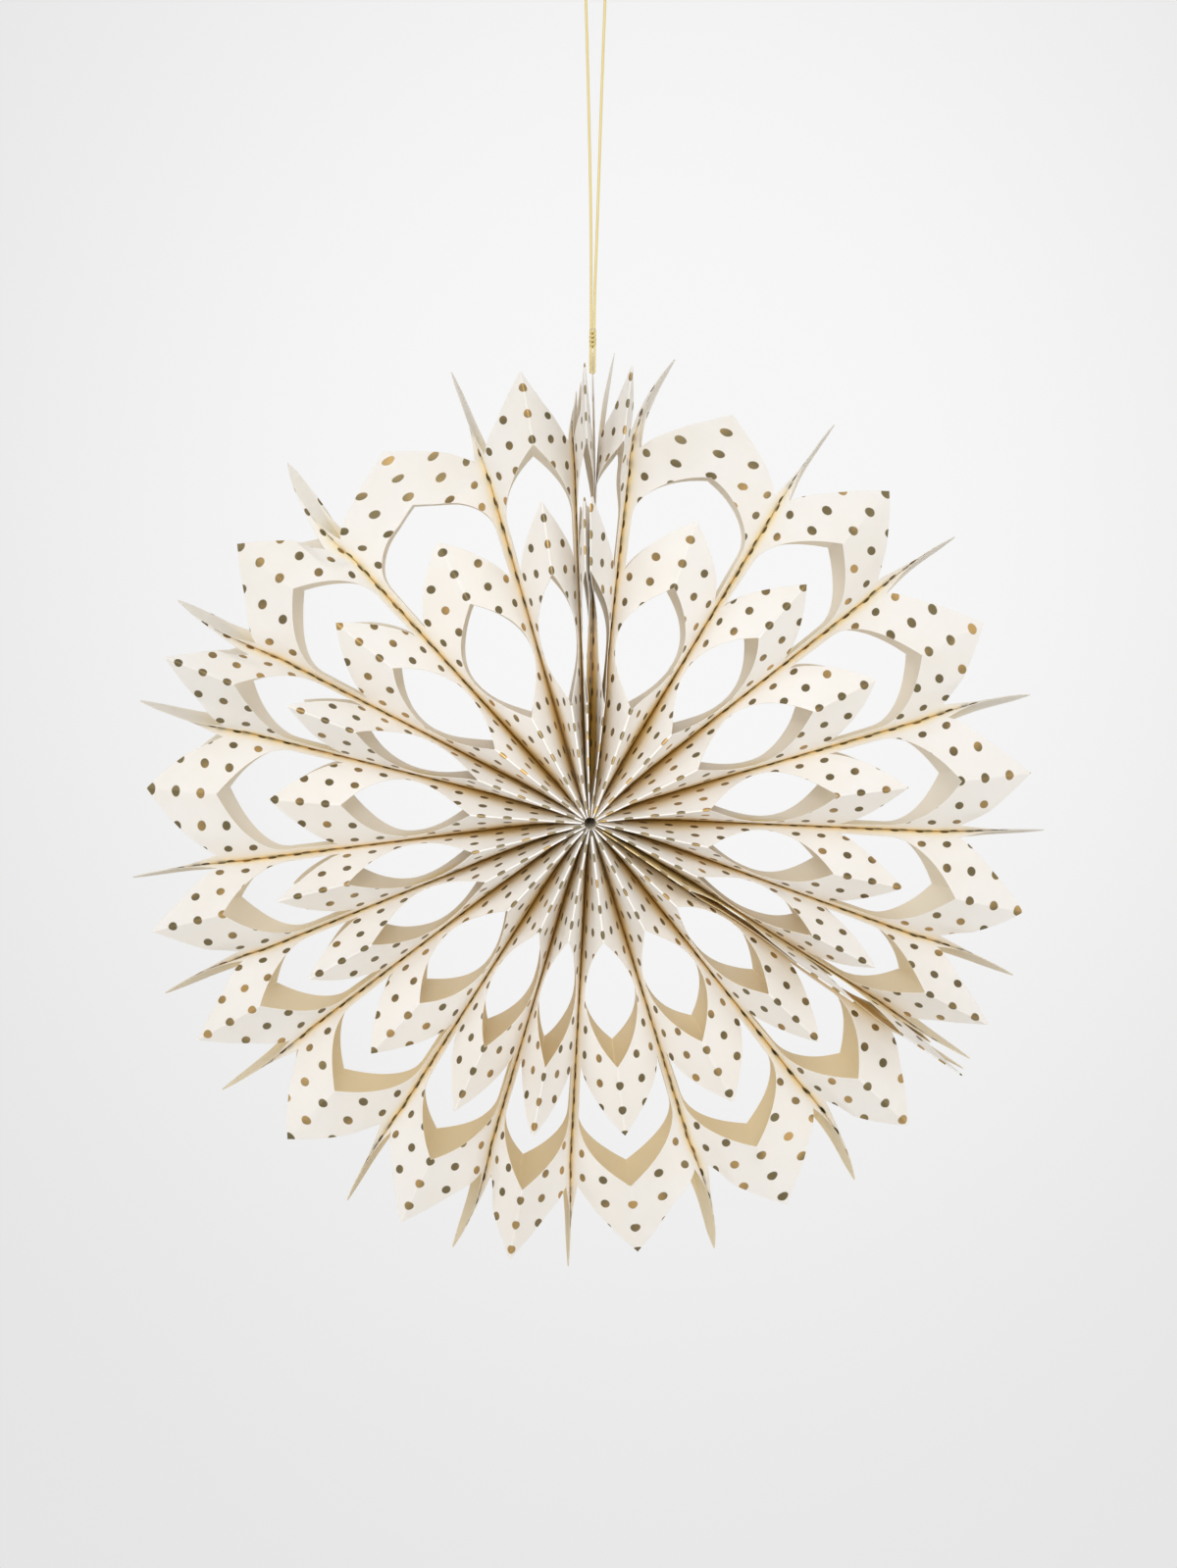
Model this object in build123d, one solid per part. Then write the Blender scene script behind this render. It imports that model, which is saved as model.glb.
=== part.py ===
"""A hanging star made of flat paper bags, glued side by side, cut to a template and fanned into a circle.

The star stands upright in the XZ plane with its front towards -Y and the hub's axis on Y. Each bag
opens into a pocket with four panels: two meet along the front fold and two along the back fold, and
the front and back panels of a side meet at the glued centre line, where the next bag begins.
"""
from build123d import *
import math
import os

# The sheet and the flat bag, in millimetres
paper = 0.3                  # thickness of the sheet
half_face = 43.0             # from the glued centre line of a bag's face to its side fold
spike_reach = 228.0          # from the hub's axis to the tip of a seam spike
hub_radius = 3.0             # of the hole in the middle, ringed by the closed ends
glue_strip = 4.0             # width of the flat strip where two bags are glued
end_seal = 1.2               # length of the closed end at the hub

# The template's widths, out from the flat bag's centre line
spine = 8.5                  # half width of the uncut strip along the seam beside the outer window
inner_spine = 10.5           # the same beside the inner window

# The template's lengths, from the spike's tip back towards the hub
petal_setback = 11.0         # from the spike's tip back to the outer petal's tip
rim_depth = 45.0             # and to the valley between the two
rim_neck = 1.5               # from that valley back to the outer window's point at the side fold
outer_leaf = 33.5            # from the outer window's point back to where it leaves the spine
outer_bay = 27.0             # and to the inner petal's tip
petal_depth = 33.0           # from the inner petal's tip back to the valley beside it
inner_neck = 2.0             # from that valley back to the inner window's point at the side fold
inner_leaf = 32.5            # from the inner window's point back to its nose, nearest the seam
inner_back = 29.5            # and from the nose back to where the window begins at the side fold

# How the bent edges are cut: the power by which they leave the centre line, and the straight snips
nose_power = 2.0             # from the inner window's nose back to its start
nose_steps = 2
leaf_power = 1.6             # along a window's far edge
leaf_steps = 3
petal_power = 1.2            # along the inner petal's edge
petal_steps = 2

# Angle that each pocket is opened to, in order counterclockwise from the top, seen from the front
openings = [2.7, 14.1, 26.0, 20.5, 13.2, 21.3, 15.0, 15.1, 20.2, 16.1, 13.4,
            20.2, 21.1, 17.1, 2.0, 12.4, 17.6, 18.6, 22.0, 20.6, 24.8, 4.6]
top_angle = 89.4             # direction of the first bag's end face
top_gap_angle = 1.4          # between the first and last end faces, which aren't glued
least_rise = 4.0             # height that the flattest fold keeps at its tip
fall_ratio = 0.2             # slope of a fold past the outer window's end at most
sheet_ratio = 0.8            # slope that a fold's paper is counted with at most
fold_steps = 24              # that a fold's length is added up in

# The gold thread, laid double, and its knot
thread = 1.4                 # diameter
thread_sides = 6             # flats that stand for its roundness
strand_gap = 0.1             # between the two strands where they leave the knot
thread_clearance = 0.1       # between the thread and the paper that it passes
eyelet_setback = 11.0        # from the spike's tip down to the hole in the first bag's end face
knot_gap = 0.4               # between the spike's tip and the knot's lower end
knot_height = 9.6
knot_width = 3.8
loop_height = 190.0          # of the loop's corners above the spike's tip, where it goes over its hook
loop_across = (-1.7, 9.1)    # how far across they lie, seen from the front
first_rise = 12.0            # length that the strands run straight up from the knot
left_strand = [(1.5, 62.0), (0.2, 124.0)]       # then how far across, and how high above the tip
right_strand = [(6.6, 124.0), (4.6, 62.0)]      # and down again on the other side

outer_petal_tip = spike_reach - petal_setback
outer_petal_root = spike_reach - rim_depth
outer_window_end = outer_petal_root - rim_neck
outer_window_bend = outer_window_end - outer_leaf
inner_petal_tip = outer_window_end - outer_bay
inner_petal_root = inner_petal_tip - petal_depth
inner_window_end = inner_petal_root - inner_neck
inner_window_nose = inner_window_end - inner_leaf
inner_window_start = inner_window_nose - inner_back
eyelet_reach = spike_reach - eyelet_setback
knot_base = spike_reach + knot_gap
count = len(openings)
spread = (360.0 - top_gap_angle) / sum(openings)


def on_circle(radius, angle):
    """A point of the star's plane at a radius and an angle in degrees, as (x, z)."""
    return radius * math.cos(math.radians(angle)), radius * math.sin(math.radians(angle))


def seam_angle(seam):
    """Direction of a seam: the openings before it, added up from the top."""
    return top_angle + spread * sum(openings[:seam])


def facet(points):
    """A flat face through its corners."""
    return Face(Wire.make_polygon([Vector(*point) for point in points]))


class Pocket:
    """One opened bag between two seams, described in a frame whose X runs out along its middle."""

    def __init__(self, number):
        """Work out the pocket's frame and its two seams."""
        ends = []
        for seam in (number, number + 1):
            root = on_circle(hub_radius, top_angle + 360.0 * seam / count)
            ends.append((root, on_circle(spike_reach, seam_angle(seam))))
        (root_a, tip_a), (root_b, tip_b) = ends
        run = [(tip_a[i] + tip_b[i] - root_a[i] - root_b[i]) / 2 for i in range(2)]
        length = math.hypot(*run)
        self.axis = (run[0] / length, run[1] / length)
        middle = ((root_a[0] + root_b[0]) / 2, (root_a[1] + root_b[1]) / 2)
        along = middle[0] * self.axis[0] + middle[1] * self.axis[1]
        self.origin = (middle[0] - along * self.axis[0], middle[1] - along * self.axis[1])
        self.start = along
        self.low = [self.local(point) for point in ends[0]]
        self.high = [self.local(point) for point in ends[1]]
        self.half_angle = math.radians(spread * openings[number] / 2)
        self.kink = self.fold_reach(outer_window_end)
        self.widening = (self.half_gap(spike_reach) - self.half_gap(along)) / (spike_reach - along)

    def local(self, point):
        """Turn a point (x, z) of the star's plane into this pocket's (along, across)."""
        dx, dz = point[0] - self.origin[0], point[1] - self.origin[1]
        return dx * self.axis[0] + dz * self.axis[1], dz * self.axis[0] - dx * self.axis[1]

    def seam(self, side, along):
        """Distance of the low or high seam from the pocket's middle line."""
        (x0, v0), (x1, v1) = self.low if side < 0 else self.high
        return v0 + (v1 - v0) * (along - x0) / (x1 - x0)

    def half_gap(self, along):
        """Half the distance between the two seams."""
        return (self.seam(1, along) - self.seam(-1, along)) / 2

    def rise_on_arc(self, along):
        """Height of the fold while both panels keep their width: a right triangle's third side."""
        return math.sqrt(max(half_face ** 2 - self.half_gap(along) ** 2, least_rise ** 2))

    def rise(self, along):
        """Height of the fold, which runs on straight and gently past the outer window."""
        if along <= self.kink:
            return self.rise_on_arc(along)
        rise = self.rise_on_arc(self.kink)
        fall = min(self.half_gap(self.kink) * self.widening / rise, fall_ratio)
        return max(rise - fall * (along - self.kink), least_rise)

    def fold_reach(self, along_paper):
        """How far out a fold's point lies: the paper's length less what its slope takes."""
        sine = math.sin(self.half_angle)
        step = along_paper / fold_steps
        reach = 0.0
        for i in range(fold_steps):
            gap = (i + 0.5) * step * sine
            height = math.sqrt(max(half_face ** 2 - gap ** 2, least_rise ** 2))
            slope = min(gap * sine / height, sheet_ratio)
            reach += step * math.sqrt(1.0 - slope ** 2)
        return reach

    def place(self, along_paper, out_paper):
        """Where a template point lies, seen along the star's plane: (along, height)."""
        share = out_paper / half_face
        at_seam = along_paper * math.cos(self.half_angle)
        along = at_seam + (self.fold_reach(along_paper) - at_seam) * share
        edge = glue_strip / 2
        return along, edge + (self.rise(along) - edge) * share

    def stations(self):
        """Where the panels' flat facets begin and end: the closed end, the windows' points and the tips."""
        marks = [inner_window_end, inner_petal_tip, outer_window_end]
        return [self.start] + [self.fold_reach(mark) for mark in marks] + [spike_reach]

    def corners(self, along, inside):
        """Corners of a cross-section, round from the high seam: the outer skin, or the hollow in it."""
        high, low = self.seam(1, along), self.seam(-1, along)
        middle = (high + low) / 2
        rise, edge = self.rise(along), glue_strip / 2
        crease = paper
        if inside:
            high, low, rise, crease = high - paper, low + paper, rise - paper, 0.0
        half = [(edge, high), (rise, middle + crease), (rise, middle - crease), (edge, low)]
        if inside:
            half.pop(2)
        return [(along, y, v) for y, v in half + [(-y, v) for y, v in reversed(half)]]

    def skin(self, inside):
        """Solid of the whole bag, or of the air inside it, closed by flat facets."""
        marks = self.stations()
        if inside:
            marks = [marks[0] + end_seal] + marks[1:-1] + [marks[-1] + end_seal]
        rings = [self.corners(mark, inside) for mark in marks]
        faces = [facet(rings[0]), facet(rings[-1])]
        for near, far in zip(rings, rings[1:]):
            for i in range(len(near)):
                j = (i + 1) % len(near)
                if abs(near[i][1]) == abs(near[j][1]):
                    faces.append(facet([near[i], near[j], far[j], far[i]]))
                elif abs(near[i][1]) > abs(near[j][1]):
                    faces += [facet([near[i], near[j], far[j]]), facet([near[i], far[j], far[i]])]
                else:
                    faces += [facet([near[i], near[j], far[i]]), facet([near[j], far[j], far[i]])]
        return Solid(Shell(faces))

    def snips(self, start, end, power, steps):
        """Points along a cut from one template point towards the next, as they lie when opened."""
        shares = [i / steps for i in range(steps)]
        return [self.place(start[0] + (end[0] - start[0]) * share,
                           start[1] + (end[1] - start[1]) * share ** power) for share in shares]

    def past_fold(self, *marks):
        """Points from one place of the fold to another, round the outside of it."""
        above = half_face + glue_strip
        near, far = (self.place(mark, half_face) for mark in marks)
        return [near, (near[0], above), (far[0], above), far]

    def inner_window(self):
        """Outline of the leaf-shaped window nearer the hub."""
        nose = (inner_window_nose, inner_spine)
        back = self.snips(nose, (inner_window_start, half_face), nose_power, nose_steps)
        out = self.snips(nose, (inner_window_end, half_face), leaf_power, leaf_steps)
        return back + self.past_fold(inner_window_start, inner_window_end) + out[:0:-1]

    def outer_window(self):
        """Outline of the window between the inner petal and the outer petal."""
        root, bend = (inner_petal_root, spine), (outer_window_bend, spine)
        petal = self.snips(root, (inner_petal_tip, half_face), petal_power, petal_steps)
        leaf = self.snips(bend, (outer_window_end, half_face), leaf_power, leaf_steps)
        return petal + self.past_fold(inner_petal_tip, outer_window_end) + leaf[::-1]

    def rim(self):
        """Outline of what is cut away beyond the spike and the outer petal."""
        spike = (spike_reach * math.cos(self.half_angle) - paper, 0.0)
        root = self.place(outer_petal_root, spine)
        tip = self.place(outer_petal_tip, half_face)
        far, above = spike_reach + glue_strip, half_face + glue_strip
        return [spike, root, tip, (tip[0], above), (far, above), (far, 0.0)]

    def cutters(self):
        """The windows and the rim as prisms that go right across the bag, at its front and back."""
        reach = spike_reach * math.sin(self.half_angle) + glue_strip
        for outline in (self.inner_window(), self.outer_window(), self.rim()):
            prism = extrude(Plane.XY * make_face(Polyline(*outline, close=True)), amount=reach, both=True)
            yield prism
            yield mirror(prism, about=Plane.XZ)

    def solid(self):
        """The cut and opened bag in the star's own frame."""
        body = self.skin(inside=False) - self.skin(inside=True)
        for cutter in self.cutters():
            body = body - cutter
        turn = math.degrees(math.atan2(self.axis[1], self.axis[0]))
        return Pos(self.origin[0], 0, self.origin[1]) * Rot(0, -turn, 0) * body


def build_pockets():
    """Every pocket of the star, with the thread's hole through the first bag's end face."""
    pockets = [Pocket(number).solid() for number in range(count)]
    x, z = on_circle(eyelet_reach, top_angle)
    hole = Cylinder(thread / 2 + thread_clearance, 2 * thread)
    pockets[0] = pockets[0] - Pos(x, 0, z) * Rot(0, 180 - top_angle, 0) * hole
    return pockets


def end_face_across(height):
    """How far across the first bag's end face lies at a height: the knot hangs in line with it."""
    return height / math.tan(math.radians(top_angle)) - paper / 2


def build_knot():
    """The knot as a faceted barrel, with the bight below it that goes through the end face."""
    middle = knot_base + knot_height / 2
    leg = paper / 2 + thread_clearance + thread / 2
    neck, foot = thread + strand_gap / 2, leg + thread / 2
    belt = knot_height / 4
    rings = [(foot, knot_base), (knot_width / 2, middle - belt), (knot_width / 2, middle + belt),
             (neck, knot_base + knot_height)]
    across = end_face_across(middle)
    barrel = loft([Pos(across, 0, height) * RegularPolygon(radius, thread_sides) for radius, height in rings],
                  ruled=True)
    turn, root = eyelet_reach + leg, knot_base + thread
    left, right = end_face_across(turn) - leg, end_face_across(turn) + leg
    path = Plane.XZ * Wire([Line((left, root), (left, turn)),
                            ThreePointArc((left, turn), ((left + right) / 2, turn - leg), (right, turn)),
                            Line((right, turn), (right, root))])
    start = Plane(origin=path @ 0, z_dir=path % 0)
    return barrel + sweep(start * RegularPolygon(thread / 2, thread_sides), path)


def thread_route():
    """The thread's points in the star's plane, up from the knot, over the hook and down again."""
    top = knot_base + knot_height
    middle = end_face_across(knot_base + knot_height / 2)
    half = (thread + strand_gap) / 2
    left, right = middle - half, middle + half
    left_side, right_side = ([(across, spike_reach + above) for across, above in strand]
                             for strand in (left_strand, right_strand))
    corners = [(across, spike_reach + loop_height) for across in loop_across]
    return ([(left, top), (left, top + first_rise)] + left_side + corners
            + right_side + [(right, top + first_rise), (right, top)])


def corner_radii(points):
    """The arc at each corner: 0.45 of the shorter run beside it over the tangent of half the turn."""
    radii = []
    for before, here, after in zip(points, points[1:], points[2:]):
        inward, outward = Vector(*here) - Vector(*before), Vector(*after) - Vector(*here)
        half_turn = math.radians(inward.get_angle(outward)) / 2
        radii.append(0.45 * min(inward.length, outward.length) / math.tan(half_turn))
    return radii


def build_thread():
    """The thread as one tube along straight runs joined by tangent arcs."""
    points = thread_route()
    radii = corner_radii(points)
    print("thread radii in mm:", [round(radius, 1) for radius in radii])
    path = Plane.XZ * FilletPolyline(*points, radius=radii)
    start = Plane(origin=path @ 0, z_dir=path % 0)
    section = start * RegularPolygon(thread / 2, thread_sides)
    tube = sweep(section, path)
    print("thread length in mm:", round(path.length, 1), "volume over section times length:",
          round(tube.volume / (section.area * path.length), 4))
    return tube


if __name__ == "__main__":
    os.makedirs("parts", exist_ok=True)
    nodes = {f"pocket_{index + 1:02d}": pocket for index, pocket in enumerate(build_pockets())}
    nodes["thread_knot"] = build_knot()
    nodes["hanging_thread"] = build_thread()
    for name, solid in nodes.items():
        export_step(solid, f"parts/{name}.step")
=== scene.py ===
"""A hanging star of cut paper bags on a doubled gold thread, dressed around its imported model.

Each bag is a printed sheet that is cut flat, through both its side folds, and then opened. The classes
below follow that order: a Template holds the cuts, a Seam is where two bags are glued, a Bag carries the
template's points to where they lie once it is opened, and the Star builds all of them in a circle. The
Thread hangs the star up, the finishes dress it, and the Studio is what it is seen in.
"""
import logging
import math
from dataclasses import dataclass, field
from enum import Enum

import bmesh
import bpy
import numpy as np
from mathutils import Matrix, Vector

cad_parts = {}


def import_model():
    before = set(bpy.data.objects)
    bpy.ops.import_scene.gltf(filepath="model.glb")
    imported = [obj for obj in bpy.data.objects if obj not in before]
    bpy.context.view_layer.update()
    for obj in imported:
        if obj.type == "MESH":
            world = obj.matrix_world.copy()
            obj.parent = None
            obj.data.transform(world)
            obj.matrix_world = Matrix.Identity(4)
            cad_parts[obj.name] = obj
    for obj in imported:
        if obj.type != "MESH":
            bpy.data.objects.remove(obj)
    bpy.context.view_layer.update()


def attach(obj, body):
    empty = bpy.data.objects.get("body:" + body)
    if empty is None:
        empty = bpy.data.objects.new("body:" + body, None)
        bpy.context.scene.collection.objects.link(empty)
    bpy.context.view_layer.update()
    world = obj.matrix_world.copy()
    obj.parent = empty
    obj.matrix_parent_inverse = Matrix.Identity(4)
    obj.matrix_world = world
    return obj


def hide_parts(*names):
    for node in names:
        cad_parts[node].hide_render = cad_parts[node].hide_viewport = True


MM = 0.001
BODY = "root"
Span = tuple[float, float]
Triple = tuple[float, float, float]
log = logging.getLogger("paper_star")


class Side(Enum):
    """Which of its two seams a panel hangs on, seen from the front and counted counterclockwise."""

    LOW = 1
    HIGH = -1


class Face(Enum):
    """Whether a panel lies before or behind the star's middle plane."""

    FRONT = -1
    BACK = 1


def ease(values: np.ndarray, start: float, end: float) -> np.ndarray:
    """Rise smoothly from 0 at start to 1 at end.

    Args:
        values: Where to work it out.
        start: Below this the result is 0.
        end: Above this the result is 1.

    Returns:
        Three times the share's square less twice its cube.
    """
    share = np.clip((values - start) / (end - start), 0.0, 1.0)
    return share * share * (3.0 - 2.0 * share)


def swell(values: np.ndarray, marks: tuple[float, float, float, float]) -> np.ndarray:
    """Rise smoothly from 0 to 1 between the first two marks, and fall back between the last two."""
    return ease(values, *marks[:2]) * (1.0 - ease(values, *marks[2:]))


@dataclass(frozen=True)
class Cut:
    """One cut edge of the bag, from the spine beside the seam out to the side fold.

    Attributes:
        root: How far along the bag it leaves the spine, in millimetres.
        tip: How far along it meets the side fold.
        power: Power of the share of the way across, seen from the front, by which it goes on.
    """

    root: float
    tip: float
    power: float = 1.0

    def along(self, share: np.ndarray) -> np.ndarray:
        """Distance along the bag at a share of the way across from the spine to the side fold."""
        return self.root + (self.tip - self.root) * share ** self.power


@dataclass(frozen=True)
class Branch:
    """A tongue of paper between two cuts, which joins the spine to the side fold.

    Attributes:
        near: The cut on its side towards the hub.
        far: The cut on its other side.
        columns: Steps from the one to the other.
    """

    near: Cut
    far: Cut
    columns: int


@dataclass(frozen=True)
class Template:
    """The outline that is cut through every flat bag, in millimetres.

    Distances along the bag are counted from the hub's axis, and distances out from its centre line.

    Attributes:
        half_face: From the centre line out to the side fold.
        glue: Half width of the strip that is pasted to the next bag.
        crease: Half width of the rounded edge along a fold.
        bow: How much of the bend of a sheet that is held by its edge the panels take.
        hub_radius: Of the hole in the middle.
        spike_reach: Of the spikes' points.
        inner_spine: Half width of the spine at the inner window's nose.
        spine: Half width of the spine beside the outer window.
        inner_window_start: Where the inner window begins, at the side fold.
        inner_window_nose: Where it comes nearest to the seam.
        inner_window_end: Where it ends, at the side fold.
        inner_petal_root: Where the inner petal's free edge leaves the spine.
        inner_petal_tip: Where that edge meets the side fold.
        outer_window_bend: Where the outer window's far edge leaves the spine.
        outer_window_end: Where that edge meets the side fold.
        outer_petal_root: Where the outer petal's free edge leaves the spine.
        outer_petal_tip: Where that edge meets the side fold.
        tip_length: What is missing of a spike's sharp point.
        nose_power: Power of the inner window's edge that faces away from the hub.
        inner_leaf_power: Of its other edge.
        inner_petal_power: Of the inner petal's free edge.
        outer_leaf_power: Of the outer window's far edge.
        outer_petal_power: Of the outer petal's free edge.
        hub_columns: Steps along the branch next to the hub.
        petal_columns: Steps along each petal.
        free_points: Points along the spine beside the outer window.
        spike_points: Points along the spike.
        rows: Lines from the spine to the fold's rounded edge.
        row_power: Power by which they lie closer beside the spine.
        spine_rows: Steps across the spine.
    """

    half_face: float = 43.0
    glue: float = 3.0
    crease: float = 0.35
    bow: float = 0.92
    hub_radius: float = 3.0
    spike_reach: float = 228.0
    inner_spine: float = 16.0
    spine: float = 13.5
    inner_window_start: float = 57.5
    inner_window_nose: float = 87.0
    inner_window_end: float = 119.5
    inner_petal_root: float = 121.5
    inner_petal_tip: float = 154.5
    outer_window_bend: float = 149.0
    outer_window_end: float = 181.5
    outer_petal_root: float = 183.0
    outer_petal_tip: float = 217.0
    tip_length: float = 1.0
    nose_power: float = 0.45
    inner_leaf_power: float = 0.55
    inner_petal_power: float = 0.76
    outer_leaf_power: float = 0.56
    outer_petal_power: float = 0.89
    hub_columns: int = 26
    petal_columns: int = 10
    free_points: int = 8
    spike_points: int = 14
    rows: int = 16
    row_power: float = 1.3
    spine_rows: int = 6

    def branches(self) -> list[Branch]:
        """The part next to the hub, the inner petal and the outer petal, with their bent cuts."""
        hub = Cut(self.hub_radius, self.hub_radius)
        nose = Cut(self.inner_window_nose, self.inner_window_start, self.nose_power)
        inner_leaf = Cut(self.inner_window_nose, self.inner_window_end, self.inner_leaf_power)
        inner_petal = Cut(self.inner_petal_root, self.inner_petal_tip, self.inner_petal_power)
        outer_leaf = Cut(self.outer_window_bend, self.outer_window_end, self.outer_leaf_power)
        outer_petal = Cut(self.outer_petal_root, self.outer_petal_tip, self.outer_petal_power)
        return [Branch(hub, nose, self.hub_columns),
                Branch(inner_leaf, inner_petal, self.petal_columns),
                Branch(outer_leaf, outer_petal, self.petal_columns)]

    def bend(self, share: np.ndarray) -> np.ndarray:
        """Where a cross line of a panel lies between its glue and its fold, seen from the front.

        Args:
            share: Share of the way from the glue's edge to the fold, along the paper.

        Returns:
            The share itself, blended by the bow with one and a half squares less half a cube of it.
        """
        return share + self.bow * (1.5 * share ** 2 - 0.5 * share ** 3 - share)

    def spine_width(self, along: np.ndarray) -> np.ndarray:
        """Half width of the uncut strip beside the seam, which narrows to the spike's point."""
        places = [self.inner_window_nose, self.inner_petal_root, self.outer_petal_root, self.spike_reach]
        return np.interp(along, places, [self.inner_spine, self.spine, self.spine, 0.0])

    def spine_grid(self) -> tuple[np.ndarray, np.ndarray]:
        """Points of the strip beside the seam, with columns where the branches have theirs.

        Returns:
            Two arrays, along and out, with a row for each step out from the centre line.
        """
        stretches = [np.linspace(b.near.root, b.far.root, b.columns + 1) for b in self.branches()]
        free = np.linspace(self.inner_petal_root, self.outer_window_bend, self.free_points)
        spike = np.linspace(self.outer_petal_root, self.spike_reach - self.tip_length, self.spike_points)
        along = np.concatenate([stretches[0], stretches[1][1:], free[1:-1], stretches[2], spike[1:]])
        share = np.linspace(0.0, 1.0, self.spine_rows + 1)
        return np.broadcast_to(along, (share.size, along.size)), share[:, None] * self.spine_width(along)

    def branch_grid(self, branch: Branch) -> tuple[np.ndarray, np.ndarray]:
        """Points of a branch: lines out to its fold, and columns evenly between its two cuts.

        Args:
            branch: The tongue of paper.

        Returns:
            Two arrays, along and out. Rows lie closer beside the spine, where the cuts bend most, and
            the last two are the edges of the rounded fold.
        """
        share = np.linspace(0.0, 1.0, self.rows)[:, None] ** self.row_power
        across = np.linspace(0.0, 1.0, branch.columns + 1)[None, :]
        base = self.spine_width(branch.near.root + (branch.far.root - branch.near.root) * across)
        fold = np.full_like(base, self.half_face)
        out = np.concatenate([base + (fold - self.crease - base) * share, fold])
        panel = self.half_face - self.glue
        first = self.bend((base - self.glue) / panel)
        seen = (self.bend((out - self.glue) / panel) - first) / (1.0 - first)
        near, far = branch.near.along(seen), branch.far.along(seen)
        return near + (far - near) * across, out


@dataclass(frozen=True)
class Seam:
    """Where two bags are glued together along their centre lines.

    Attributes:
        root_angle: Direction of its inner end on the hub's ring, in degrees.
        angle: Direction of its spike's tip.
        curl: How far the tip bends to the counterclockwise side, in millimetres.
        twist: How far the tip turns about the spike, in degrees.
        meeting: Angle by which it leans counterclockwise where it lies against the other end face.
        shortfall: How much sooner its spike ends, in millimetres.
    """

    root_angle: float
    angle: float
    curl: float = 0.0
    twist: float = 0.0
    meeting: float = 0.0
    shortfall: float = 0.0

    def ends(self, template: Template) -> np.ndarray:
        """The inner end and the tip, as (x, z) rows in millimetres."""
        angles = np.radians([self.root_angle, self.angle])
        radii = np.array([template.hub_radius, template.spike_reach])
        return np.stack([radii * np.cos(angles), radii * np.sin(angles)], axis=1)


@dataclass
class Sheet:
    """Grids of one mesh piece, gathered before they are joined.

    Attributes:
        points: Places of each grid's points, in metres.
        quads: Its faces, as four points each.
        prints: Places on the printed pattern.
        places: Places on the flat paper.
        finishes: Material slot of each face.
        count: Points so far.
    """

    points: list[np.ndarray] = field(default_factory=list)
    quads: list[np.ndarray] = field(default_factory=list)
    prints: list[np.ndarray] = field(default_factory=list)
    places: list[np.ndarray] = field(default_factory=list)
    finishes: list[np.ndarray] = field(default_factory=list)
    count: int = 0

    def add(self, points: np.ndarray, prints: np.ndarray, outward: np.ndarray, finish: int = 0,
            places: np.ndarray | None = None) -> None:
        """Add a grid of quads.

        Args:
            points: Grid of places, rows by columns by 3.
            prints: Grid of places on the printed pattern, rows by columns by 2.
            outward: A direction that the faces' outside looks along, on the whole.
            finish: Index of the material slot.
            places: Grid of places on the flat paper, rows by columns by 2, if the finish needs them.
        """
        rows, columns = points.shape[:2]
        index = np.arange(rows * columns).reshape(rows, columns)
        quads = np.stack([index[:-1, :-1], index[:-1, 1:], index[1:, 1:], index[1:, :-1]], axis=-1)
        sides = np.cross(points[:-1, 1:] - points[:-1, :-1], points[1:, :-1] - points[:-1, :-1])
        if np.sum(sides @ outward) < 0.0:
            quads = quads[..., ::-1]
        self.points.append(points.reshape(-1, 3))
        self.prints.append(prints.reshape(-1, 2))
        self.places.append((prints if places is None else places).reshape(-1, 2))
        self.quads.append(quads.reshape(-1, 4) + self.count)
        self.finishes.append(np.full(quads.size // 4, finish, np.int32))
        self.count += rows * columns

    def build(self, name: str, weld: float) -> bpy.types.Object:
        """Make the mesh, with its print and places as UV maps, and join points that lie together.

        Args:
            name: The new object's name.
            weld: Points closer than this become one, in metres.

        Returns:
            The object, linked to the scene.
        """
        points, quads = np.concatenate(self.points), np.concatenate(self.quads)
        mesh = bpy.data.meshes.new(name)
        mesh.from_pydata(points, [], quads)
        for layer, grids in (("print", self.prints), ("place", self.places)):
            values = np.concatenate(grids)[quads.ravel()]
            mesh.uv_layers.new(name=layer).data.foreach_set("uv", values.ravel())
        mesh.polygons.foreach_set("material_index", np.concatenate(self.finishes))
        joined = bmesh.new()
        joined.from_mesh(mesh)
        bmesh.ops.remove_doubles(joined, verts=joined.verts, dist=weld)
        joined.to_mesh(mesh)
        joined.free()
        thing = bpy.data.objects.new(name, mesh)
        bpy.context.scene.collection.objects.link(thing)
        return thing


def smoothed(mesh: bpy.types.Mesh) -> None:
    """Shade all of a mesh's faces smoothly."""
    mesh.polygons.foreach_set("use_smooth", np.ones(len(mesh.polygons), bool))


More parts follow.
